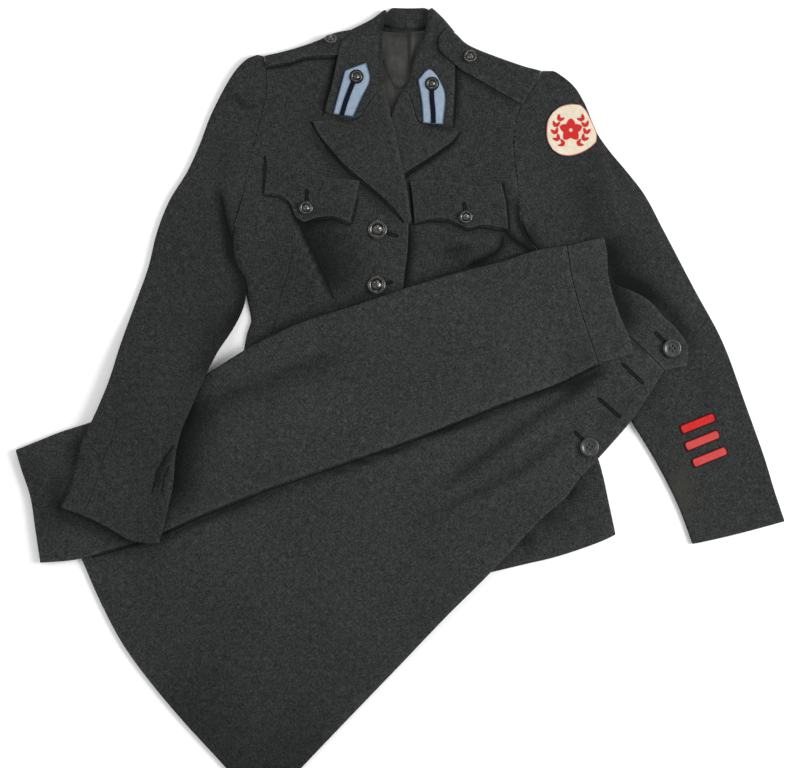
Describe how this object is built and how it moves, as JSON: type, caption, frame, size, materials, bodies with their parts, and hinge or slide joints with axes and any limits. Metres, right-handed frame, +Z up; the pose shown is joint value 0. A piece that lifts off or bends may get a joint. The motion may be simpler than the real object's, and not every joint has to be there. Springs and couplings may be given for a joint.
{
  "type": "skirt suit uniform",
  "caption": "Women's uniform laid out flat: a buttoned long-sleeved wool jacket with peaked lapels, shoulder straps and flap pockets, with its folded skirt laid across it.",
  "frame": {"origin": "centre of the laid-out suit on the surface it lies on", "axes": "+Z up from the surface, +Y from the hem towards the collar, +X to the viewer's right"},
  "size_m": [0.9062, 0.9488, 0.0188],
  "materials": {
    "wool": "matt",
    "lining": "satin",
    "blue_felt": "matt",
    "cream_felt": "matt",
    "red_braid": "matt",
    "bronze": "dark patina",
    "black_horn": "semi-gloss"
  },
  "bodies": {
    "root": {"jacket_back": "wool", "back_lining": "lining", "front_right": "wool", "front_left": "wool", "lapel_right": "wool", "lapel_left": "wool", "collar": "wool", "strap_right": "wool", "strap_left": "wool", "pocket_flap_right": "wool", "pocket_flap_left": "wool", "sleeve_right": "wool", "sleeve_left": "wool", "skirt_back": "wool", "skirt_front": "wool", "waistband_back": "wool", "waistband_front": "wool", "collar_tab_right": "blue_felt", "collar_tab_left": "blue_felt", "shoulder_patch": "cream_felt", "service_bar_1": "red_braid", "service_bar_2": "red_braid", "service_bar_3": "red_braid", "strap_right_button": "bronze", "strap_left_button": "bronze", "flap_right_button": "bronze", "flap_left_button": "bronze", "tab_right_button": "bronze", "tab_left_button": "bronze", "front_button_1": "bronze", "front_button_2": "bronze", "waist_button": "black_horn", "placket_button": "black_horn"}
  },
  "joints": []
}
